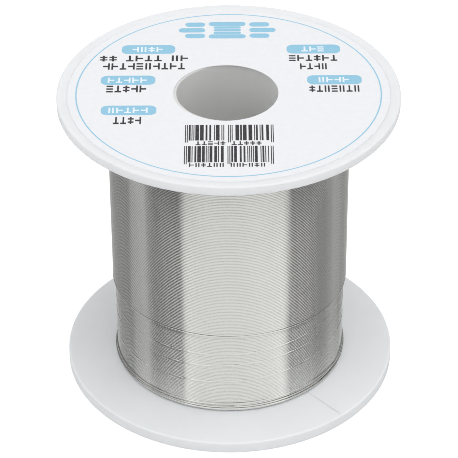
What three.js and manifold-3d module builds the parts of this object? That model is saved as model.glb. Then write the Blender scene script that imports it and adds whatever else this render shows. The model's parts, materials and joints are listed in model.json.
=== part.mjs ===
// Solder wire spool: two moulded flanges held apart by a barrel and a hub tube, a printed paper
// label on the upper flange, and one long solder wire wound on the barrel in layers.
// Millimetres, +Z up. The origin is the middle of the face that the spool rests on.

import {
  BufferAttribute, BufferGeometry, BoxGeometry, CatmullRomCurve3, ExtrudeGeometry, Group,
  LatheGeometry, Mesh, MeshStandardMaterial, Shape, Vector2, Vector3,
} from 'three';
import { mergeVertices } from 'three/addons/utils/BufferGeometryUtils.js';
import Module from 'manifold-3d';

// ---------------------------------------------------------------- driving dimensions

const SEGMENTS = 48;            // facets round every turned piece, all in the same phase
const GAP = 0.03;               // clearance between pieces that touch on the real spool

const SPOOL_HEIGHT = 59.8;
const FLANGE_RADIUS = 31.5;
const LOWER_THICKNESS = 2.35;
const UPPER_THICKNESS = 1.85;
const RIM_WIDTH = 2.1;          // raised band round the edge of each flange's outer face
const RIM_RISE = 0.3;           // how far that band stands above the flange's web
const RIM_ROUNDING = 0.3;       // radius of the edge roundings

const BORE_RADIUS = 9.55;       // the hole a reel holder's spindle goes through
const HUB_TUBE_RADIUS = 11.0;
const HUB_COLLAR_RADIUS = 12.6; // socket on each flange that grips the hub tube
const HUB_COLLAR_DEPTH = 8.0;

const BARREL_RADIUS = 20.35;
const BARREL_WALL = 1.5;
const SPIGOT_WALL = 1.5;        // ring on each flange that fits inside the barrel's end
const SPIGOT_DEPTH = 6.0;

const RIB_COUNT = 8;
const RIB_THICKNESS = 1.2;
const RIB_DEPTH = 5.0;

const LABEL_RADIUS = 29.3;
const LABEL_THICKNESS = 0.12;

const WIRE_DIAMETER = 0.3;
const LAYER_PITCH = 0.247;      // a wire nests in the grooves of the layer under it
const FULL_LAYERS = 6;
const PART_LAYER_STARTS = [19.4, 19.9]; // height at which each shorter outer layer begins

const EDGE_TURNS_HEIGHT = 1.3;  // wire piled up against the lower flange
const CROSSOVER_START = { turn: -0.25, height: 4.6 };
const CROSSOVER_END = { turn: 2.25, height: 18.6 };

const FREE_END_START = 60;      // degrees round the spool, where the end leaves the winding
const FREE_END_SWEEP = 70;      // degrees of the last turn that can be lifted
const FREE_END_HEIGHT = { root: 21.4, tip: 23.4 };

// ---------------------------------------------------------------- derived sizes

const innerFaceLow = LOWER_THICKNESS;
const innerFaceHigh = SPOOL_HEIGHT - UPPER_THICKNESS;
const spigotRadius = BARREL_RADIUS - BARREL_WALL - GAP;
const layerRadius = (layer) => BARREL_RADIUS + WIRE_DIAMETER + LAYER_PITCH * (layer - 1);

// ---------------------------------------------------------------- materials

const whitePlastic = { color: 0xe4e6ea, roughness: 0.45, metalness: 0.0 };
const greyPlastic = { color: 0xc4c4c2, roughness: 0.5, metalness: 0.0 };
const labelPaper = { color: 0xf2f3f6, roughness: 0.6, metalness: 0.0 };
const solder = { color: 0xc2c2be, roughness: 0.25, metalness: 1.0 };

// ---------------------------------------------------------------- shape helpers

const wasm = await Module();
wasm.setup();

function named(name, geometry, finish) {
  const mesh = new Mesh(geometry, new MeshStandardMaterial(finish));
  mesh.name = name;
  return mesh;
}

// Turns a closed outline about the Z axis. The outline's points are [radius, height], and run
// outwards along the bottom and up the outside, so the faces point out.
function turned(outline) {
  const points = [...outline, outline[0]].map(([radius, height]) => new Vector2(radius, height));
  const geometry = new LatheGeometry(points, SEGMENTS);
  geometry.rotateX(Math.PI / 2);
  return geometry;
}

function sleeve(innerRadius, outerRadius, bottom, top) {
  return turned([
    [innerRadius, bottom], [outerRadius, bottom], [outerRadius, top], [innerRadius, top],
  ]);
}

// Points on an arc in the outline's plane, from one angle to another, in degrees.
function arc(centreRadius, centreHeight, radius, from, to, steps = 2) {
  return Array.from({ length: steps + 1 }, (_, i) => {
    const angle = (from + ((to - from) * i) / steps) * (Math.PI / 180);
    return [centreRadius + radius * Math.cos(angle), centreHeight + radius * Math.sin(angle)];
  });
}

function toManifold(geometry) {
  const bare = geometry.clone();
  bare.deleteAttribute('normal');
  bare.deleteAttribute('uv');
  const merged = mergeVertices(bare, 1e-4);
  return new wasm.Manifold(new wasm.Mesh({
    numProp: 3,
    vertProperties: new Float32Array(merged.attributes.position.array),
    triVerts: new Uint32Array(merged.index.array),
  }));
}

function fromManifold(solid) {
  const mesh = solid.getMesh();
  const geometry = new BufferGeometry();
  geometry.setAttribute('position', new BufferAttribute(new Float32Array(mesh.vertProperties), 3));
  geometry.setIndex(new BufferAttribute(new Uint32Array(mesh.triVerts), 1));
  geometry.computeVertexNormals();
  return geometry;
}

// ---------------------------------------------------------------- moulded spool

// One flange in its lower position: web, raised rim, barrel spigot, hub collar and ribs.
function flangeGeometry(inside) {
  const web = RIM_RISE;
  const rimInner = FLANGE_RADIUS - RIM_WIDTH;
  const roundCentre = FLANGE_RADIUS - RIM_ROUNDING;
  const hole = HUB_TUBE_RADIUS + GAP;
  const outline = [
    [hole, web],
    [rimInner, web],
    [rimInner + RIM_RISE, 0],
    ...arc(roundCentre, RIM_ROUNDING, RIM_ROUNDING, -90, 0),
    ...arc(roundCentre, inside - RIM_ROUNDING, RIM_ROUNDING, 0, 90),
    [spigotRadius, inside],
    [spigotRadius, inside + SPIGOT_DEPTH],
    [spigotRadius - SPIGOT_WALL, inside + SPIGOT_DEPTH],
    [spigotRadius - SPIGOT_WALL, inside],
    [HUB_COLLAR_RADIUS, inside],
    [HUB_COLLAR_RADIUS, inside + HUB_COLLAR_DEPTH],
    [hole, inside + HUB_COLLAR_DEPTH],
  ];
  let solid = toManifold(turned(outline));

  // Each rib starts inside the web, the collar and the spigot, so that it joins all three.
  const bite = 0.4;
  const ribFrom = HUB_COLLAR_RADIUS - bite;
  const ribTo = spigotRadius - SPIGOT_WALL + bite;
  for (let i = 0; i < RIB_COUNT; i += 1) {
    const rib = new BoxGeometry(ribTo - ribFrom, RIB_THICKNESS, RIB_DEPTH + bite);
    rib.translate((ribFrom + ribTo) / 2, 0, inside + (RIB_DEPTH - bite) / 2);
    rib.rotateZ((i * 2 * Math.PI) / RIB_COUNT);
    solid = solid.add(toManifold(rib));
  }
  return fromManifold(solid);
}

const lowerFlange = named('lower_flange', flangeGeometry(LOWER_THICKNESS), whitePlastic);

const upperFlange = named('upper_flange', flangeGeometry(UPPER_THICKNESS), whitePlastic);
upperFlange.rotation.x = Math.PI;
upperFlange.position.z = SPOOL_HEIGHT;

const barrel = named(
  'barrel',
  sleeve(BARREL_RADIUS - BARREL_WALL, BARREL_RADIUS, innerFaceLow + GAP, innerFaceHigh - GAP),
  whitePlastic,
);

const hubTube = named(
  'hub_tube',
  sleeve(BORE_RADIUS, HUB_TUBE_RADIUS, RIM_RISE, SPOOL_HEIGHT - RIM_RISE),
  greyPlastic,
);

const labelBottom = SPOOL_HEIGHT - RIM_RISE + GAP;
const label = named(
  'label',
  sleeve(BORE_RADIUS, LABEL_RADIUS, labelBottom, labelBottom + LABEL_THICKNESS),
  labelPaper,
);

// ---------------------------------------------------------------- wound solder wire

// Each layer of the winding is a sleeve out to the crests of its wires.
function wireLayer(layer) {
  const lowEnd = layer <= FULL_LAYERS ? innerFaceLow + GAP : PART_LAYER_STARTS[layer - FULL_LAYERS - 1];
  const under = layer === 1 ? BARREL_RADIUS : layerRadius(layer - 1);
  const geometry = sleeve(under + GAP, layerRadius(layer), lowEnd, innerFaceHigh - GAP);
  return named(`wire_layer_${layer}`, geometry, solder);
}

const layerCount = FULL_LAYERS + PART_LAYER_STARTS.length;
const wireLayers = Array.from({ length: layerCount }, (_, i) => wireLayer(i + 1));

// The wire itself, swept along a path that runs round the spool on a given centre radius.
function sweptWire(name, centreRadius, fromTurn, toTurn, heightAt, sides) {
  const steps = Math.round((toTurn - fromTurn) * SEGMENTS);
  const path = new CatmullRomCurve3(Array.from({ length: steps + 1 }, (_, i) => {
    const turn = fromTurn + ((toTurn - fromTurn) * i) / steps;
    const angle = turn * 2 * Math.PI;
    return new Vector3(
      centreRadius * Math.cos(angle),
      centreRadius * Math.sin(angle),
      heightAt(i / steps),
    );
  }));
  path.arcLengthDivisions = steps * 8;
  const section = new Shape(Array.from({ length: sides }, (_, i) => {
    const angle = (i * 2 * Math.PI) / sides;
    return new Vector2((WIRE_DIAMETER / 2) * Math.cos(angle), (WIRE_DIAMETER / 2) * Math.sin(angle));
  }));
  const geometry = new ExtrudeGeometry(section, { steps, bevelEnabled: false, extrudePath: path });
  return named(name, geometry, solder);
}

const between = (from, to) => (share) => from + (to - from) * share;
const facetSagitta = (radius) => radius * (1 - Math.cos(Math.PI / SEGMENTS));

// A few turns heaped against the lower flange, on top of the last full layer.
const heapRadius = layerRadius(FULL_LAYERS);
const edgeTurns = named(
  'wire_edge_turns',
  turned([
    [heapRadius + GAP, innerFaceLow + GAP],
    [heapRadius + WIRE_DIAMETER, innerFaceLow + GAP],
    [heapRadius + WIRE_DIAMETER, innerFaceLow + EDGE_TURNS_HEIGHT * 0.7],
    [heapRadius + WIRE_DIAMETER / 2, innerFaceLow + EDGE_TURNS_HEIGHT],
    [heapRadius + GAP, innerFaceLow + EDGE_TURNS_HEIGHT],
  ]),
  solder,
);

// Steep turns that climb from the heap to where the seventh layer begins.
const crossoverRadius = heapRadius + WIRE_DIAMETER / 2 + GAP + facetSagitta(heapRadius);
const crossoverTurns = sweptWire(
  'wire_crossover_turns',
  crossoverRadius,
  CROSSOVER_START.turn,
  CROSSOVER_END.turn,
  between(CROSSOVER_START.height, CROSSOVER_END.height),
  5,
);

// The loose end lies on the outer layer and can be lifted by its tip.
const outerRadius = layerRadius(layerCount);
const freeEndRadius = outerRadius + WIRE_DIAMETER / 2 + GAP + facetSagitta(outerRadius);
const freeEnd = sweptWire(
  'wire_free_end',
  freeEndRadius,
  FREE_END_START / 360,
  (FREE_END_START + FREE_END_SWEEP) / 360,
  between(FREE_END_HEIGHT.root, FREE_END_HEIGHT.tip),
  8,
);

// ---------------------------------------------------------------- the assembly

const solderSpool = new Group();
solderSpool.add(lowerFlange, upperFlange, barrel, hubTube, label);
solderSpool.add(...wireLayers, edgeTurns, crossoverTurns, freeEnd);

export default solderSpool;
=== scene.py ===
"""The looks of the solder wire spool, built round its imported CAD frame.

The flanges, hub tube and barrel get smooth moulded surfaces, the layers of the winding that show
become real turns of wire, and the label gets its paper and a generic print.
Lengths are metres. A size written in millimetres is turned into metres by MM.
"""
import json
import math
import random

import bmesh
import bpy
import numpy as np
from mathutils import Matrix, Vector


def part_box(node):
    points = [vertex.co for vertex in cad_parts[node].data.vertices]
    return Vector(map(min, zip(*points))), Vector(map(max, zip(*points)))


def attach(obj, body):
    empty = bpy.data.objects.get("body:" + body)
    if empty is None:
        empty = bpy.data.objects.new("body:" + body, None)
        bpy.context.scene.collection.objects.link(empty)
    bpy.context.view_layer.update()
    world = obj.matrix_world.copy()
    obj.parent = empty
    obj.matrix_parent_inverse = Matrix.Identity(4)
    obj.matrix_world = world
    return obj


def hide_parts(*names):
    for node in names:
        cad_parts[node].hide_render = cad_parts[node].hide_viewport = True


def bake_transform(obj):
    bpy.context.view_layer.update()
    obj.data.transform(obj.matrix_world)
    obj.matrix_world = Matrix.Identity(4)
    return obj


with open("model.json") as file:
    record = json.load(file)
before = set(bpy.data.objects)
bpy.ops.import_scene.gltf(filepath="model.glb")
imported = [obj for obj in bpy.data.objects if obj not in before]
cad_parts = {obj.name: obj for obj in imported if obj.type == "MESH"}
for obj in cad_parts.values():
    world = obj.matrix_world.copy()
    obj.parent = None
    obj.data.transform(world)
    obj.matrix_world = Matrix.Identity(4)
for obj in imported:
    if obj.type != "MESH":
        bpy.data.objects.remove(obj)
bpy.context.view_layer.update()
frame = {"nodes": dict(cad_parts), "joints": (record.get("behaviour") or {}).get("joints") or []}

MM = 0.001

# ---------------------------------------------------------------- sizes taken from the frame

SPOOL_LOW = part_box("lower_flange")[0].z
SPOOL_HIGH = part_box("upper_flange")[1].z
FLANGE_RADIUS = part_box("lower_flange")[1].x
BARREL_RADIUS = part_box("barrel")[1].x
HUB_TUBE_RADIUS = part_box("hub_tube")[1].x
LABEL_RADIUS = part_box("label")[1].x
LABEL_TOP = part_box("label")[1].z
WINDING_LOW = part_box("wire_layer_6")[0].z
WINDING_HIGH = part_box("wire_layer_6")[1].z


def layer_low(layer):
    """Height of the lower edge of a layer of wire."""
    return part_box(f"wire_layer_{layer}")[0].z


def layer_crest(layer):
    """Distance from the spool's axis to the crests of a layer of wire."""
    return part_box(f"wire_layer_{layer}")[1].x


# ---------------------------------------------------------------- sizes of the moulded pieces

ROUND_STEPS = 192               # facets round a turned piece
SHARP_EDGE = 35                 # degrees; an edge that turns more than this is shaded sharp
GAP = 0.03 * MM                 # clearance between pressed pieces
BORE_RADIUS = 9.55 * MM
LOWER_THICKNESS = WINDING_LOW - SPOOL_LOW - GAP
UPPER_THICKNESS = SPOOL_HIGH - WINDING_HIGH - GAP
RIM_WIDTH = 2.1 * MM
RIM_RISE = 0.3 * MM
RIM_ROUNDING = 0.3 * MM
RIM_SLOPE = 0.5 * MM            # how far the rim's inner wall leans outward on its way down
RIM_SHOULDER = (0.15 * MM, 0.4 * RIM_RISE)  # where that wall turns from steep to gentle
BARREL_WALL = 1.5 * MM          # of the barrel, and of the spigots that hold it
BARREL_CHAMFER = 0.2 * MM
SPIGOT_HEIGHT = 6 * MM
COLLAR_WALL = 1.6 * MM          # of the collars that hold the hub tube
COLLAR_HEIGHT = 8 * MM
HUB_TUBE_CHAMFER = 0.15 * MM
RIB_COUNT = 8                   # in each flange, between its collar and its spigot
RIB_THICKNESS = 1.2 * MM
RIB_HEIGHT = 5 * MM
RIB_BITE = 0.2 * MM             # how deep a rib runs into what it meets
MOULD_LINE_AZIMUTH = -48        # degrees from +X, of a hair-thin line on the lower flange
MOULD_LINE_WIDTH = 0.1 * MM
MOULD_LINE_RISE = 0.03 * MM
MOULD_LINE_ROOT = 0.05 * MM     # how deep it runs into the flange

# ---------------------------------------------------------------- sizes of the wire

WIRE_RADIUS = 0.173 * MM
WIRE_PITCH = 0.34 * MM          # from one turn to the next
STEPS_PER_TURN = 72
WIRE_SIDES = 8

# The layers that show: the turn at which the low end lies (1 is once round, from +X towards +Y),
# and the way in which the wire climbs, with the turns (1) or against them (-1).
LAYER_RUNS = {6: (0.75, -1), 7: (0.25, 1), 8: (0.03, -1)}

# How the outermost layer's low end lies. Its turns droop towards the sides and the back. The last
# turn, which is the lowest, also stands a little proud and is slack in two places.
DROOP = 0.4 * MM
DROOP_FROM, DROOP_SPREAD = 15, 40   # degrees to either side of the front
DROOP_TURNS = 8                     # the droop fades over about this many turns
LAST_TURN_PROUD = 0.06 * MM
LAST_TURN_SLACK = 0.09 * MM
FADE_IN, FADE_OUT = 0.1, 0.2    # share of a turn, at the start and round the end of the last turn
SLACK_PLACES = [(-14, 14, 1.0), (27, 9, 0.8)]   # degrees right of the front, spread, share

# The turns heaped against the lower flange, on top of the sixth layer. For each turn: how far it
# lies outside a turn that touches that layer's crests, its height over the flange, and how much
# higher it rises at the right of the front. In millimetres.
HEAP = [(-0.1, 0.08, 0.0), (-0.1, 0.5, 0.25), (-0.1, 0.92, 0.75), (0.1, 0.32, 0.1)]
HEAP_CROSSING = 0.12            # share of a turn in which the wire moves on to its next place
HEAP_SUMMIT = 0.95              # the turn at which the heap rises highest

# The wire that climbs from the lower flange to the seventh layer: turn, and height in millimetres.
CLIMB = [(-0.25, 3.4), (0.2, 5.0), (0.71, 8.9), (0.86, 10.05), (1.65, 12.1), (1.86, 14.05),
         (2.6, 14.8), (3.0, 17.0), (3.25, 19.3)]
CLIMB_ROUNDING = 13             # steps over which its corners are rounded
CLIMB_PROUD = 0.06 * MM         # how far it stands out of the sixth layer

# The loose end: it steps up onto the eighth layer, climbs to the hinge and lies there.
LOOSE_END_SIDES = 10
LOOSE_END_STEPS = 100
STEP_UP_TURNS = 0.045           # share of a turn in which it steps up
CLIMB_AFTER_TURNS = 0.04        # share of a turn after which it starts to climb
LOOSE_TURNS = 70 / 360          # share of a turn from the hinge to the tip

# ---------------------------------------------------------------- sizes of the label and its print

LABEL_OVERLAP = 0.2 * MM        # how far it reaches past its CAD solid, to the foot of the rim
LABEL_CHAMFER = 0.03 * MM
LABEL_HOLE_RADIUS = BORE_RADIUS + 0.05 * MM
LABEL_HOLE_SHIFT = Vector((-0.5 * MM, -0.3 * MM, 0))    # the hole was punched a little off centre

INK_LOW = LABEL_TOP - 0.01 * MM
INK_HIGH = LABEL_TOP + 0.012 * MM
OVERPRINT_HIGH = LABEL_TOP + 0.02 * MM

# Places on the label are in millimetres from its centre: x to the right, y to the back.
PRINT_RING = (27.78, 28.02)     # its inner and outer radius
PANELS = [(-15.0, 15.0), (15.95, 14.9), (-18.5, 4.05), (19.5, 3.9), (-18.1, -6.3)]
PANEL_WIDTH, PANEL_HEIGHT, PANEL_ROUNDING = 10.05, 3.2, 1.2
CAPTION_STEP, CAPTION_HEIGHT = 1.5, 1.8     # of the signs on a panel

# Rows of dark placeholder marks: left, right, low, high, and how many marks each word has.
MARK_ROWS = [
    (-24.0, -7.2, 10.75, 12.8, (2, 4, 2)),
    (-23.3, -7.8, 7.8, 10.1, (10,)),
    (-22.4, -14.8, -0.15, 2.2, (5,)),
    (-20.8, -15.5, -10.9, -8.5, (4,)),
    (11.3, 20.6, 10.6, 12.7, (6,)),
    (13.3, 18.6, 7.6, 9.75, (4,)),
    (14.8, 24.3, -0.3, 1.9, (7,)),
]
SIGN_WIDTH = 0.8                # share of a mark's place that its sign fills
WORD_SPACE = 0.8                # share of a mark's place that is left free between words

# Signs of no language, each a few strokes: left, bottom, right and top as shares of the sign.
SIGNS = [
    [(0.0, 0.0, 0.27, 1.0), (0.27, 0.39, 1.0, 0.61)],
    [(0.73, 0.0, 1.0, 1.0), (0.0, 0.39, 0.73, 0.61)],
    [(0.0, 0.0, 1.0, 0.21), (0.0, 0.39, 1.0, 0.6), (0.0, 0.79, 1.0, 1.0)],
    [(0.08, 0.0, 0.36, 1.0), (0.64, 0.0, 0.92, 1.0)],
    [(0.36, 0.22, 0.64, 1.0), (0.0, 0.0, 1.0, 0.22)],
    [(0.36, 0.0, 0.64, 0.18), (0.0, 0.18, 1.0, 0.38), (0.36, 0.38, 0.64, 0.62),
     (0.0, 0.62, 1.0, 0.82), (0.36, 0.82, 0.64, 1.0)],
]

# Bar codes: left, right, top, foot of the bars, foot of the guard bars. Rows of marks under them.
CODES = [(-7.8, 8.0, -11.3, -16.4, -17.05), (-7.9, 7.9, -18.2, -23.4, -24.0)]
CODE_ROWS = [(-5.9, 6.0, -17.9, -16.7, (5, 5)), (-7.0, 6.6, -24.85, -23.65, (6, 6))]
CODE_MODULES = 95               # a module is the width of the thinnest bar
CODE_GUARDS = (0, 2, 46, 48, 92, 94)
CODE_HALVES = [(4, 44), (50, 90)]       # the modules between which the other bars stand
CODE_BARS = [1, 1, 2, 3, 4]     # widths to draw from
CODE_SPACES = [1, 1, 1, 2, 3]

# The pictogram: a wound spool with three strokes of wire to either side. Each stroke is given by
# its height over the middle, its width and its thickness. The second flange is the first mirrored.
EMBLEM_CENTRE = (-0.2, 22.0)
EMBLEM_FLANGE = (2.3, 7.0, 1.5)
EMBLEM_TURNS = [(-1.0, 5.2, 0.85), (0.0, 5.2, 0.85), (1.0, 5.2, 0.85)]
EMBLEM_STROKES = [(-2.1, 3.8, 1.6), (0.0, 5.0, 1.6), (2.1, 3.8, 1.6)]
EMBLEM_STROKE_START = 4.2       # distance from the middle to the side strokes
EMBLEM_ROUNDING = 0.45          # share of a stroke's thickness

# ---------------------------------------------------------------- the studio

# Brightness by direction, in degrees from the camera's side: + is right.
# A soft tent lights everything that isn't shiny.
TENT_WALLS = [(-180, 0.95), (-90, 1.3), (0, 0.5), (90, 0.9), (180, 0.95)]
TENT_CEILING = [
    (-180, 0.4), (-80, 0.7), (-40, 1.75), (45, 2.1), (90, 1.95), (130, 0.8), (180, 0.4),
]

# The metal shows panels with dark gaps between them.
WALL_PANELS = [
    (-180, 0.16), (-101, 0.16), (-98, 0.52), (-80.5, 0.52), (-78, 0.17), (-44.5, 0.17), (-41.5, 0.83),
    (10, 0.84), (30, 0.9), (53, 0.92), (56, 0.25), (80, 0.25), (86, 0.3), (103, 0.3), (107, 0.4),
    (117, 0.4), (121, 0.2), (180, 0.16),
]
FLOOR_PANELS = [
    (-180, 0.5), (-101, 0.5), (-98, 0.4), (-80.5, 0.35), (-78, 0.1), (-44.5, 0.1), (-41.5, 0.8),
    (10, 0.81), (53, 0.88), (56, 0.12), (103, 0.18), (107, 0.4), (117, 0.45), (121, 0.5), (180, 0.5),
]
CEILING_PANELS = [
    (-180, 0.3), (-105, 0.3), (-95, 0.9), (-80, 0.9), (-74, 1.4), (-46, 1.4), (-40, 0.93), (50, 0.93),
    (56, 1.35), (95, 1.35), (105, 0.3), (180, 0.3),
]

# Where one gives way to the next, as the upward part of a direction of length 1.
FLOOR_TO_WALL = (-0.25, -0.05)
WALL_TO_CEILING = (0.5, 0.75)

FLOOR_RADIUS = 3.0
FLOOR_CLEARANCE = 0.02 * MM
FLOOR_GLOW = 0.1                # light that the floor itself gives off
FLOOR_GLOW_SEEN = 0.55          # more glow that only the camera sees, to match the backdrop

CAMERA_PLACE = Vector((-0.05 * MM, -382.9 * MM, 298.2 * MM))
CAMERA_LOOKS_DOWN = 35.12       # degrees
CAMERA_ROLL = -0.28             # degrees
CAMERA_LENS, CAMERA_SENSOR = 193.6, 36      # millimetres, as cameras have them
PIXEL_FILTER = 0.95             # narrower than usual, so that thin turns don't blur together


# ---------------------------------------------------------------- material helpers

class Nodes:
    """A short way to write a node tree: add(type, inputs..., properties...) and link by socket."""

    def __init__(self, tree):
        self.tree = tree
        tree.nodes.clear()

    def add(self, kind, inputs=None, **properties):
        node = self.tree.nodes.new(kind)
        for name, value in properties.items():
            setattr(node, name, value)
        for name, value in (inputs or {}).items():
            self.set_input(node.inputs[name], value)
        return node

    def set_input(self, socket, value):
        if isinstance(value, bpy.types.NodeSocket):
            self.tree.links.new(value, socket)
        else:
            socket.default_value = value

    def math(self, operation, a, b=0.0, c=0.0):
        return self.add("ShaderNodeMath", {0: a, 1: b, 2: c}, operation=operation).outputs[0]

    def ramp(self, value, stops):
        """A colour ramp. Each stop is (position, grey) or (position, (red, green, blue))."""
        node = self.add("ShaderNodeValToRGB", {0: value})
        elements = node.color_ramp.elements
        while len(elements) < len(stops):
            elements.new(0.5)
        for element, (position, colour) in zip(elements, stops):
            element.position = position
            rgb = colour if isinstance(colour, tuple) else (colour,) * 3
            element.color = (*rgb, 1.0)
        return node.outputs[0]

    def noise(self, position, grain, detail=3.0):
        """Noise whose grain is a length in metres."""
        inputs = {"Vector": position, "Scale": 1 / grain, "Detail": detail}
        return self.add("ShaderNodeTexNoise", inputs).outputs["Fac"]

    def bump(self, height, distance):
        return self.add("ShaderNodeBump", {"Height": height, "Distance": distance}).outputs["Normal"]


def srgb(red, green, blue):
    """A colour given as it looks on a screen, 0 to 255, as the linear values that nodes use."""
    def linear(value):
        share = value / 255
        return share / 12.92 if share <= 0.04045 else ((share + 0.055) / 1.055) ** 2.4
    return (linear(red), linear(green), linear(blue))


def new_material(name):
    """A material with a shader, and the point on the object that its pattern is read at."""
    material = bpy.data.materials.new(name)
    material.use_nodes = True
    nodes = Nodes(material.node_tree)
    shader = nodes.add("ShaderNodeBsdfPrincipled")
    nodes.add("ShaderNodeOutputMaterial", {"Surface": shader.outputs[0]})
    position = nodes.add("ShaderNodeTexCoord").outputs["Object"]
    return material, nodes, shader, position


def set_shader(nodes, shader, **sockets):
    """Links or sets the shader's inputs; the keywords are the socket names with _ for spaces."""
    for name, value in sockets.items():
        nodes.set_input(shader.inputs[name.replace("_", " ")], value)


# ---------------------------------------------------------------- materials

def moulded_plastic(name, pale, deep, roughness, scatter):
    """Satin moulded plastic: cloudy colour, flow marks in the sheen, fine spark-eroded texture."""
    material, nodes, shader, position = new_material(name)
    cloud = nodes.noise(position, grain=7 * MM)
    flow = nodes.noise(position, grain=1.3 * MM)
    texture = nodes.noise(position, grain=0.18 * MM, detail=2.0)
    set_shader(
        nodes, shader, Base_Color=nodes.ramp(cloud, [(0.3, deep), (0.7, pale)]),
        Roughness=nodes.ramp(flow, [(0.3, roughness - 0.05), (0.7, roughness + 0.07)]), IOR=1.5,
        Subsurface_Weight=scatter, Subsurface_Radius=(1.0, 0.95, 0.9), Subsurface_Scale=1.5 * MM,
        Normal=nodes.bump(texture, 0.006 * MM),
    )
    return material


def coated_paper(name):
    """Coated label paper: faint fibre mottling and a low, uneven gloss."""
    material, nodes, shader, position = new_material(name)
    mottling = nodes.noise(position, grain=0.9 * MM, detail=5.0)
    fibres = nodes.noise(position, grain=0.12 * MM)
    set_shader(
        nodes, shader,
        Base_Color=nodes.ramp(mottling, [(0.3, srgb(232, 233, 236)), (0.7, srgb(235, 236, 239))]),
        Roughness=nodes.ramp(mottling, [(0.3, 0.5), (0.7, 0.62)]), Specular_IOR_Level=0.3,
        Normal=nodes.bump(fibres, 0.004 * MM),
    )
    return material


def ink(name, colour, thin):
    """Printed ink: the colour thins out in fine specks where the paper shows through."""
    material, nodes, shader, position = new_material(name)
    specks = nodes.noise(position, grain=0.25 * MM, detail=4.0)
    set_shader(
        nodes, shader, Base_Color=nodes.ramp(specks, [(0.35, colour), (0.75, thin)]),
        Roughness=nodes.ramp(specks, [(0.3, 0.42), (0.7, 0.58)]), Specular_IOR_Level=0.3,
        Normal=nodes.bump(specks, 0.003 * MM),
    )
    return material


def solder_metal(name, colour):
    """Bright drawn solder: a fine drawn grain, and wide patches of slightly duller skin."""
    material, nodes, shader, position = new_material(name)
    skin = nodes.noise(position, grain=6 * MM, detail=2.0)
    drawn = nodes.noise(position, grain=0.05 * MM, detail=2.0)
    set_shader(
        nodes, shader, Base_Color=(*colour, 1.0), Metallic=1.0,
        Roughness=nodes.ramp(skin, [(0.3, 0.07), (0.7, 0.1)]),
        Normal=nodes.bump(drawn, 0.0005 * MM),
    )
    return material


def wound_metal(name, colour):
    """Solder layers under the outer ones: grooves at the wire's pitch, and painted shade between turns.
    """
    material, nodes, shader, position = new_material(name)
    height = nodes.add("ShaderNodeSeparateXYZ", {0: position}).outputs["Z"]
    wave = nodes.math("SINE", nodes.math("MULTIPLY", height, 2 * math.pi / WIRE_PITCH))
    crest = nodes.math("MULTIPLY_ADD", wave, 0.5, 0.5)
    # painted shade: the colour falls to 0.35 of the solder's colour in the grooves between turns, where
    # shade falls
    groove_painted_shade = tuple(0.35 * value for value in colour)
    skin = nodes.noise(position, grain=1.5 * MM)
    set_shader(
        nodes, shader, Base_Color=nodes.ramp(crest, [(0.0, groove_painted_shade), (1.0, colour)]),
        Metallic=1.0, Roughness=nodes.ramp(skin, [(0.3, 0.3), (0.7, 0.45)]),
        Normal=nodes.bump(crest, 0.1 * MM),
    )
    return material


WHITE_PLASTIC = moulded_plastic("white_plastic", srgb(233, 235, 237), srgb(230, 232, 234), 0.4, 0.25)
GREY_PLASTIC = moulded_plastic("grey_plastic", srgb(222, 222, 221), srgb(217, 217, 216), 0.5, 0.1)
LABEL_PAPER = coated_paper("label_paper")
BLUE_INK = ink("blue_ink", srgb(142, 196, 222), srgb(156, 203, 226))
DARK_INK = ink("dark_ink", srgb(48, 46, 50), srgb(86, 84, 88))
WHITE_INK = ink("white_ink", srgb(240, 245, 250), srgb(214, 230, 240))
SOLDER = solder_metal("solder_wire", (0.80, 0.80, 0.775))
# painted shade: the layers deep in the winding get a darker copy of the solder's colour
SOLDER_UNDER = wound_metal("solder_under", (0.62, 0.62, 0.6))


# ---------------------------------------------------------------- mesh helpers

def finish_piece(mesh, material, body="spool", replaces=None, smooth=True):
    """The piece has its mesh's name. It rides on a body, and may stand for a CAD node."""
    mesh.validate()
    mesh.polygons.foreach_set("use_smooth", [smooth] * len(mesh.polygons))
    piece = bpy.data.objects.new(mesh.name, mesh)
    bpy.context.scene.collection.objects.link(piece)
    mesh.materials.append(material)
    if body:
        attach(piece, body)
    if replaces:
        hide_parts(replaces)
    return piece


def to_mesh(shape, name):
    """The bmesh as a mesh, shaded smooth apart from its sharp edges."""
    bmesh.ops.recalc_face_normals(shape, faces=shape.faces)
    limit = math.radians(SHARP_EDGE)
    for edge in shape.edges:
        edge.smooth = len(edge.link_faces) == 2 and edge.calc_face_angle(0.0) < limit
    mesh = bpy.data.meshes.new(name)
    shape.to_mesh(mesh)
    shape.free()
    return mesh


def arc(radius, height, size, start, end):
    """Points on an arc in the (distance from the axis, height) plane, angles in degrees."""
    steps = 8
    angles = [math.radians(start + (end - start) * i / steps) for i in range(steps + 1)]
    return [(radius + size * math.cos(a), height + size * math.sin(a)) for a in angles]


def turned(outline):
    """A bmesh of a closed outline of (distance from the axis, height) points, turned about Z."""
    shape = bmesh.new()
    angles = [2 * math.pi * i / ROUND_STEPS for i in range(ROUND_STEPS)]
    rings = [
        [shape.verts.new((radius * math.cos(a), radius * math.sin(a), height)) for a in angles]
        for radius, height in outline
    ]
    for low, high in zip(rings, rings[1:] + rings[:1]):
        for i in range(ROUND_STEPS):
            j = (i + 1) % ROUND_STEPS
            shape.faces.new((low[i], low[j], high[j], high[i]))
    return shape


def prism(shape, outline, low, high):
    """Adds a flat closed body with this outline of (x, y) points between two heights."""
    bottom = [shape.verts.new((x, y, low)) for x, y in outline]
    top = [shape.verts.new((x, y, high)) for x, y in outline]
    shape.faces.new(list(reversed(bottom)))
    shape.faces.new(top)
    for i in range(len(outline)):
        j = (i + 1) % len(outline)
        shape.faces.new((bottom[i], bottom[j], top[j], top[i]))


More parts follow.
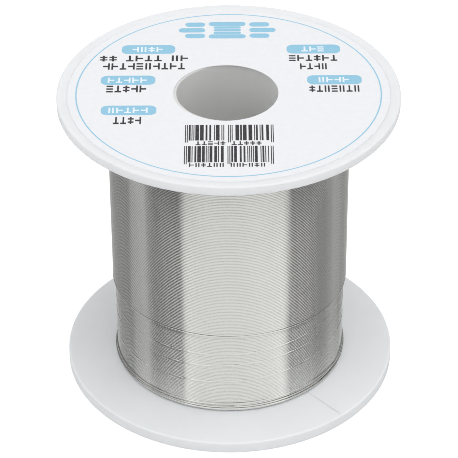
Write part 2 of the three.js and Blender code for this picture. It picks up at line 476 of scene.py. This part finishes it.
def rounded_box(x, y, width, height, radius, steps):
    """The outline of a rectangle with rounded corners, centred on (x, y)."""
    points = []
    for corner in range(4):
        across = (width / 2 - radius) * (1 if corner in (0, 3) else -1)
        up = (height / 2 - radius) * (1 if corner in (0, 1) else -1)
        for step in range(steps + 1):
            angle = math.radians(90 * corner + 90 * step / steps)
            points.append((x + across + radius * math.cos(angle), y + up + radius * math.sin(angle)))
    return points


# ---------------------------------------------------------------- moulded pieces

def flange_shape(inside):
    """A flange in its lower position: web, raised rim, spigot for the barrel, hub collar, ribs.
    inside is the height of its inner face."""
    spigot = BARREL_RADIUS - BARREL_WALL - GAP
    collar = HUB_TUBE_RADIUS + COLLAR_WALL
    hole = HUB_TUBE_RADIUS + GAP
    spigot_top = inside + SPIGOT_HEIGHT
    collar_top = inside + COLLAR_HEIGHT
    rim_inner = FLANGE_RADIUS - RIM_WIDTH
    rounding_centre = FLANGE_RADIUS - RIM_ROUNDING
    outline = [
        (hole, RIM_RISE),
        (rim_inner, RIM_RISE),
        (rim_inner + RIM_SHOULDER[0], RIM_SHOULDER[1]),
        (rim_inner + RIM_SLOPE, 0),
        *arc(rounding_centre, RIM_ROUNDING, RIM_ROUNDING, -90, 0),
        *arc(rounding_centre, inside - RIM_ROUNDING, RIM_ROUNDING, 0, 90),
        (spigot, inside),
        (spigot, spigot_top),
        (spigot - BARREL_WALL, spigot_top),
        (spigot - BARREL_WALL, inside),
        (collar, inside),
        (collar, collar_top),
        (hole, collar_top),
    ]
    shape = turned(outline)
    add_ribs(shape, collar - RIB_BITE, spigot - BARREL_WALL + RIB_BITE, inside)
    return shape


def add_ribs(shape, inner, outer, inside):
    """Stiffening ribs between the hub collar and the barrel spigot."""
    for i in range(RIB_COUNT):
        azimuth = math.radians(360 * i / RIB_COUNT)
        outline = strip(azimuth, inner, outer, RIB_THICKNESS)
        prism(shape, outline, inside - RIB_BITE, inside + RIB_HEIGHT)


def strip(azimuth, inner, outer, width):
    """The outline of a straight strip that runs outward between two distances from the axis."""
    along = Vector((math.cos(azimuth), math.sin(azimuth)))
    across = Vector((-math.sin(azimuth), math.cos(azimuth))) * width / 2
    corners = [along * inner - across, along * outer - across,
               along * outer + across, along * inner + across]
    return [tuple(corner) for corner in corners]


def add_mould_line(shape):
    """A hair-thin raised flow line on the inner face, from the winding out to the rim."""
    outline = strip(
        math.radians(MOULD_LINE_AZIMUTH), layer_crest(6) + GAP, FLANGE_RADIUS - RIM_ROUNDING,
        MOULD_LINE_WIDTH,
    )
    prism(shape, outline, LOWER_THICKNESS - MOULD_LINE_ROOT, LOWER_THICKNESS + MOULD_LINE_RISE)


def build_flanges():
    lower = flange_shape(LOWER_THICKNESS)
    add_mould_line(lower)
    mesh = to_mesh(lower, "lower_flange_moulding")
    finish_piece(mesh, WHITE_PLASTIC, replaces="lower_flange")

    upper = flange_shape(UPPER_THICKNESS)
    for vertex in upper.verts:
        vertex.co.y = -vertex.co.y
        vertex.co.z = SPOOL_LOW + SPOOL_HIGH - vertex.co.z
    mesh = to_mesh(upper, "upper_flange_moulding")
    finish_piece(mesh, WHITE_PLASTIC, replaces="upper_flange")


def tube_shape(inner, outer, node, chamfer):
    """A tube with chamfered ends, as long as the CAD node."""
    low, high = (corner.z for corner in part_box(node))
    return turned([
        (inner + chamfer, low), (outer - chamfer, low), (outer, low + chamfer),
        (outer, high - chamfer), (outer - chamfer, high), (inner + chamfer, high),
        (inner, high - chamfer), (inner, low + chamfer),
    ])


def build_tubes():
    shape = tube_shape(BORE_RADIUS, HUB_TUBE_RADIUS, "hub_tube", HUB_TUBE_CHAMFER)
    finish_piece(to_mesh(shape, "hub_tube_smooth"), GREY_PLASTIC, replaces="hub_tube")

    shape = tube_shape(BARREL_RADIUS - BARREL_WALL, BARREL_RADIUS, "barrel", BARREL_CHAMFER)
    finish_piece(to_mesh(shape, "barrel_smooth"), WHITE_PLASTIC, replaces="barrel")


# ---------------------------------------------------------------- label and its print

def build_label():
    """The label reaches the foot of the rim, and its hole lies off centre."""
    low, high = (corner.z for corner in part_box("label"))
    hole, outside = LABEL_HOLE_RADIUS, LABEL_RADIUS + LABEL_OVERLAP
    shape = turned([
        (hole, low), (outside, low), (outside, high - LABEL_CHAMFER),
        (outside - LABEL_CHAMFER, high), (hole + LABEL_CHAMFER, high), (hole, high - LABEL_CHAMFER),
    ])
    for vertex in shape.verts:
        if vertex.co.xy.length < (hole + outside) / 2:
            vertex.co += LABEL_HOLE_SHIFT
    finish_piece(to_mesh(shape, "label_paper_disc"), LABEL_PAPER, replaces="label")


def print_piece(shape, name, material):
    finish_piece(to_mesh(shape, name), material, smooth=False)


def print_shape(shape, outline, high=INK_HIGH):
    """Adds a printed shape whose outline is in millimetres."""
    prism(shape, [(x * MM, y * MM) for x, y in outline], INK_LOW, high)


def rectangle(left, low, right, high):
    return [(left, low), (right, low), (right, high), (left, high)]


def placeholder_marks(shape, left, right, low, high, words, top, rng):
    """Signs of no language in place of lettering, in words with a space between."""
    places = sum(words) + WORD_SPACE * (len(words) - 1)
    step = (right - left) / places
    width, height = step * SIGN_WIDTH, high - low
    x = left
    for word in words:
        for _ in range(word):
            for x0, y0, x1, y1 in rng.choice(SIGNS):
                stroke = rectangle(x + x0 * width, low + y0 * height, x + x1 * width, low + y1 * height)
                print_shape(shape, stroke, top)
            x += step
        x += step * WORD_SPACE


def bar_code(shape, left, right, high, low, guard_low, rng):
    """A made-up bar pattern with longer guard bars at both ends and in the middle."""
    width = (right - left) / CODE_MODULES
    module = 0
    while module < CODE_MODULES:
        half_end = next((end for start, end in CODE_HALVES if start <= module <= end), None)
        if module in CODE_GUARDS:
            bar, space, foot = 1, 1, guard_low
        elif half_end is not None:
            bar = min(rng.choice(CODE_BARS), half_end - module)
            space, foot = rng.choice(CODE_SPACES), low
        else:
            module += 1
            continue
        if bar > 0:
            x = left + module * width
            print_shape(shape, rectangle(x, foot, x + bar * width, high))
        module += max(bar, 1) + space


def emblem_shape():
    """A plain pictogram of a wound spool."""
    shape = bmesh.new()

    def stroke(dx, dy, width, thickness):
        x, y = EMBLEM_CENTRE[0] + dx, EMBLEM_CENTRE[1] + dy
        rounding = thickness * EMBLEM_ROUNDING
        print_shape(shape, rounded_box(x, y, width, thickness, rounding, steps=3))

    distance, width, thickness = EMBLEM_FLANGE
    for dy in (-distance, distance):
        stroke(0, dy, width, thickness)
    for dy, width, thickness in EMBLEM_TURNS:
        stroke(0, dy, width, thickness)
    for side in (-1, 1):
        for dy, width, thickness in EMBLEM_STROKES:
            stroke(side * (EMBLEM_STROKE_START + width / 2), dy, width, thickness)
    return shape


def build_print():
    rng = random.Random(7)
    inner, outer = PRINT_RING[0] * MM, PRINT_RING[1] * MM
    ring = turned([(inner, INK_LOW), (outer, INK_LOW), (outer, INK_HIGH), (inner, INK_HIGH)])
    print_piece(ring, "print_ring", BLUE_INK)

    panels = bmesh.new()
    for x, y in PANELS:
        print_shape(panels, rounded_box(x, y, PANEL_WIDTH, PANEL_HEIGHT, PANEL_ROUNDING, steps=5))
    print_piece(panels, "print_panels", BLUE_INK)

    captions = bmesh.new()
    for x, y in PANELS:
        count = rng.choice([3, 4, 5])
        left, right = x - count * CAPTION_STEP / 2, x + count * CAPTION_STEP / 2
        low, high = y - CAPTION_HEIGHT / 2, y + CAPTION_HEIGHT / 2
        placeholder_marks(captions, left, right, low, high, (count,), OVERPRINT_HIGH, rng)
    print_piece(captions, "print_captions", WHITE_INK)

    marks = bmesh.new()
    for row in MARK_ROWS:
        placeholder_marks(marks, *row, INK_HIGH, rng)
    print_piece(marks, "print_marks", DARK_INK)

    codes = bmesh.new()
    for code in CODES:
        bar_code(codes, *code, rng)
    for row in CODE_ROWS:
        placeholder_marks(codes, *row, INK_HIGH, rng)
    print_piece(codes, "print_bar_codes", DARK_INK)

    print_piece(emblem_shape(), "print_emblem", BLUE_INK)


# ---------------------------------------------------------------- wound wire

def wire_mesh(name, centres, sides=WIRE_SIDES):
    """A closed round wire along a path of points that runs round the Z axis."""
    tangent = np.gradient(centres, axis=0)
    tangent /= np.linalg.norm(tangent, axis=1)[:, None]
    outward = centres * (1, 1, 0)
    outward -= (outward * tangent).sum(1)[:, None] * tangent
    outward /= np.linalg.norm(outward, axis=1)[:, None]
    upward = np.cross(tangent, outward)
    angles = np.arange(sides)[None, :, None] * 2 * math.pi / sides
    ring = np.cos(angles) * outward[:, None] + np.sin(angles) * upward[:, None]
    vertices = (centres[:, None] + WIRE_RADIUS * ring).reshape(-1, 3)
    start = (np.arange(len(centres) - 1) * sides)[:, None]
    here, there = np.arange(sides), (np.arange(sides) + 1) % sides
    quads = np.stack([start + sides + here, start + sides + there, start + there, start + here], -1)
    last = (len(centres) - 1) * sides
    caps = [list(range(sides)), [last + i for i in reversed(range(sides))]]
    mesh = bpy.data.meshes.new(name)
    mesh.from_pydata(vertices.tolist(), [], quads.reshape(-1, 4).tolist() + caps)
    return mesh


def round_path(turns, radius, height):
    """Points at these turns (1 is once round, from +X towards +Y), distances and heights."""
    angle = 2 * math.pi * turns
    return np.stack([radius * np.cos(angle), radius * np.sin(angle), height], -1)


def wander(turns, rng, size, periods):
    """A slow, smooth wander made of a few waves with periods in turns."""
    total = np.zeros_like(turns)
    for period in periods:
        total += np.sin(2 * math.pi * (turns / period + rng.random()))
    return total * size / len(periods)


def smooth_step(value):
    share = np.clip(value, 0, 1)
    return share * share * (3 - 2 * share)


def layer_path(radius, low, high, low_turn, side, rng):
    """Close turns between two heights, a little uneven as wound wire is. The lowest point is at
    low_turn; from there the wire climbs with the turns if side is 1, against them if side is -1."""
    count = (high - low) / WIRE_PITCH
    climbed = np.linspace(0, count, int(count * STEPS_PER_TURN))
    height = low + climbed * WIRE_PITCH
    height += wander(climbed, rng, size=0.012 * MM, periods=(31.7, 17.3, 9.1, 1.9))
    out = radius + wander(climbed, rng, size=0.002 * MM, periods=(5.3, 1.9, 0.37))
    return round_path(low_turn + side * climbed, out, np.clip(height, low, high))


def settle_low_end(path):
    """Lets the low end of the outermost layer down, and loosens its lowest turn."""
    turn = np.arange(len(path)) / STEPS_PER_TURN
    right_of_front = np.degrees(np.arctan2(path[:, 0], -path[:, 1]))
    fading = smooth_step((turn - 1 + FADE_OUT / 2) / FADE_OUT)
    on_last_turn = smooth_step(turn / FADE_IN) * (1 - fading)
    away = smooth_step((np.abs(right_of_front) - DROOP_FROM) / DROOP_SPREAD)
    droop = DROOP * away * np.exp(-turn / DROOP_TURNS)
    loose = sum(
        share * np.exp(-((right_of_front - place) / spread) ** 2)
        for place, spread, share in SLACK_PLACES
    )
    path[:, 2] -= droop + LAST_TURN_SLACK * loose * on_last_turn
    path[:, :2] *= (1 + on_last_turn * LAST_TURN_PROUD / layer_crest(8))[:, None]
    return path


def build_winding():
    """The layers that show. The wire is laid down, up and down again as it goes round one way."""
    rng = random.Random(21)
    high = WINDING_HIGH - WIRE_RADIUS
    for layer, (low_turn, side) in LAYER_RUNS.items():
        low = layer_low(layer) + WIRE_RADIUS
        if layer == 6:
            low += GAP
        path = layer_path(layer_crest(layer) - WIRE_RADIUS, low, high, low_turn, side, rng)
        if layer == 8:
            path = settle_low_end(path)
        mesh = wire_mesh(f"wire_layer_{layer}_turns", path)
        finish_piece(mesh, SOLDER, replaces=f"wire_layer_{layer}")


def build_edge_turns():
    """The heap is one run of wire that wanders up and down as its turns lie on each other."""
    rng = random.Random(5)
    turns = np.linspace(0, len(HEAP), len(HEAP) * 2 * STEPS_PER_TURN + 1)
    arrives = np.arange(len(HEAP))
    leaves = np.append(arrives[1:] - HEAP_CROSSING, len(HEAP))
    knots = np.stack([arrives, leaves], -1).ravel()
    outside, height, rise = (
        np.interp(turns, knots, np.repeat(values, 2)) for values in zip(*HEAP)
    )
    near_summit = 0.5 + 0.5 * np.cos(2 * math.pi * (turns - HEAP_SUMMIT))
    uneven = np.abs(wander(turns, rng, size=0.08 * MM, periods=(1.7, 0.45, 0.19)))
    path = round_path(
        turns, layer_crest(6) + WIRE_RADIUS + outside * MM,
        WINDING_LOW + WIRE_RADIUS + (height + rise * near_summit) * MM + uneven,
    )
    mesh = wire_mesh("wire_edge_turns_heap", path)
    finish_piece(mesh, SOLDER, replaces="wire_edge_turns")


def build_crossover():
    """The steep turns that cross the sixth layer on their way up."""
    knots, heights = np.array(CLIMB).T
    turns = np.linspace(knots[0], knots[-1], int((knots[-1] - knots[0]) * STEPS_PER_TURN))
    padded = np.pad(np.interp(turns, knots, heights), CLIMB_ROUNDING // 2, mode="edge")
    height = np.convolve(padded, np.ones(CLIMB_ROUNDING) / CLIMB_ROUNDING, mode="valid")
    radius = layer_crest(6) - WIRE_RADIUS + CLIMB_PROUD
    mesh = wire_mesh("wire_crossover_run", round_path(turns, radius, height * MM))
    finish_piece(mesh, SOLDER, replaces="wire_crossover_turns")


def build_free_end():
    """The end of the wire: it leaves the last turn, climbs onto the layer and lies there."""
    joint = next(j for j in frame["joints"] if j["name"] == "free_end_lift")
    pivot = Vector(joint["pos_m"])
    pivot_turn = math.atan2(pivot.y, pivot.x) / (2 * math.pi)
    leave_turn = LAYER_RUNS[8][0]
    climb_turn = leave_turn + CLIMB_AFTER_TURNS
    turns = np.linspace(leave_turn, pivot_turn + LOOSE_TURNS, LOOSE_END_STEPS)

    in_layer, on_layer = layer_crest(8) - WIRE_RADIUS, pivot.xy.length
    radius = in_layer + (on_layer - in_layer) * smooth_step((turns - leave_turn) / STEP_UP_TURNS)
    low = layer_low(8) + WIRE_RADIUS - DROOP
    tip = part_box("wire_free_end")[1].z - WIRE_RADIUS
    height = low + (pivot.z - low) * smooth_step((turns - climb_turn) / (pivot_turn - climb_turn))
    height += (tip - pivot.z) * np.clip((turns - pivot_turn) / LOOSE_TURNS, 0, 1)

    mesh = wire_mesh("wire_loose_end", round_path(turns, radius, height), LOOSE_END_SIDES)
    piece = finish_piece(mesh, SOLDER, body=None, replaces="wire_free_end")
    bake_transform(piece)


def finish_cad_nodes():
    """The layers that stay as CAD sleeves, deep in the winding."""
    for layer in range(1, 6):
        materials = frame["nodes"][f"wire_layer_{layer}"].data.materials
        materials.clear()
        materials.append(SOLDER_UNDER)


# ---------------------------------------------------------------- studio

def build_floor():
    shape = bmesh.new()
    bmesh.ops.create_circle(shape, cap_ends=True, segments=96, radius=FLOOR_RADIUS)
    mesh = bpy.data.meshes.new("studio_floor")
    shape.to_mesh(mesh)
    shape.free()
    floor = bpy.data.objects.new("studio_floor", mesh)
    floor.location.z = SPOOL_LOW - FLOOR_CLEARANCE
    floor.visible_glossy = False
    bpy.context.scene.collection.objects.link(floor)

    material, nodes, shader, position = new_material("floor_white")
    tone = nodes.ramp(nodes.noise(position, grain=0.4), [(0.3, 0.64), (0.7, 0.66)])
    seen = nodes.add("ShaderNodeLightPath").outputs["Is Camera Ray"]
    glow = nodes.math("MULTIPLY_ADD", seen, FLOOR_GLOW_SEEN, FLOOR_GLOW)
    set_shader(
        nodes, shader, Base_Color=tone, Roughness=0.8, Specular_IOR_Level=0.1,
        Emission_Color=(1, 1, 1, 1), Emission_Strength=glow,
    )
    mesh.materials.append(material)


def build_world():
    """A light tent for plastic and paper, panels and dark gaps for metal, white behind it all."""
    world = bpy.data.worlds.new("studio")
    bpy.context.scene.world = world
    world.use_nodes = True
    nodes = Nodes(world.node_tree)
    looking = nodes.add("ShaderNodeTexCoord").outputs["Generated"]
    direction = nodes.add("ShaderNodeSeparateXYZ", {0: looking}).outputs
    angle = nodes.math("ARCTAN2", direction["X"], nodes.math("MULTIPLY", direction["Y"], -1.0))
    azimuth = nodes.math("MULTIPLY_ADD", angle, 1 / (2 * math.pi), 0.5)

    def by_azimuth(stops):
        return nodes.ramp(azimuth, [((degrees + 180) / 360, grey) for degrees, grey in stops])

    def rising(span):
        """0 below the span and 1 above it."""
        inputs = {"Value": direction["Z"], "From Min": span[0], "From Max": span[1]}
        return nodes.add("ShaderNodeMapRange", inputs, interpolation_type="SMOOTHSTEP").outputs[0]

    def mix(share, a, b):
        """Sockets 6 and 7 are the node's two colours, and output 2 is their mix."""
        return nodes.add("ShaderNodeMix", {0: share, 6: a, 7: b}, data_type="RGBA").outputs[2]

    overhead = rising(WALL_TO_CEILING)
    tent = mix(overhead, by_azimuth(TENT_WALLS), by_azimuth(TENT_CEILING))
    low_panels = mix(rising(FLOOR_TO_WALL), by_azimuth(FLOOR_PANELS), by_azimuth(WALL_PANELS))
    panels = mix(overhead, low_panels, by_azimuth(CEILING_PANELS))
    light_path = nodes.add("ShaderNodeLightPath").outputs
    light = mix(light_path["Is Glossy Ray"], tent, panels)
    studio = nodes.add("ShaderNodeBackground", {"Color": light}).outputs[0]
    backdrop = nodes.add("ShaderNodeBackground", {"Color": (1, 1, 1, 1)}).outputs[0]
    both = nodes.add("ShaderNodeMixShader", {0: light_path["Is Camera Ray"], 1: studio, 2: backdrop})
    nodes.add("ShaderNodeOutputWorld", {"Surface": both.outputs[0]})


def build_camera():
    """A long lens in front of the spool, looking down at it."""
    camera = bpy.data.objects.new("camera", bpy.data.cameras.new("camera"))
    bpy.context.scene.collection.objects.link(camera)
    camera.location = CAMERA_PLACE
    tilt = Matrix.Rotation(math.radians(90 - CAMERA_LOOKS_DOWN), 3, "X")
    roll = Matrix.Rotation(math.radians(CAMERA_ROLL), 3, "Z")
    camera.rotation_euler = (tilt @ roll).to_euler()
    camera.data.lens = CAMERA_LENS
    camera.data.sensor_width = CAMERA_SENSOR
    camera.data.clip_start = 10 * MM
    bpy.context.scene.camera = camera


def set_view():
    """Plain colours and a crisp picture."""
    scene = bpy.context.scene
    scene.view_settings.view_transform = "Standard"
    scene.view_settings.look = "None"
    scene.cycles.filter_width = PIXEL_FILTER


build_flanges()
build_tubes()
build_label()
build_print()
build_winding()
build_edge_turns()
build_crossover()
build_free_end()
finish_cad_nodes()
build_floor()
build_world()
build_camera()
set_view()
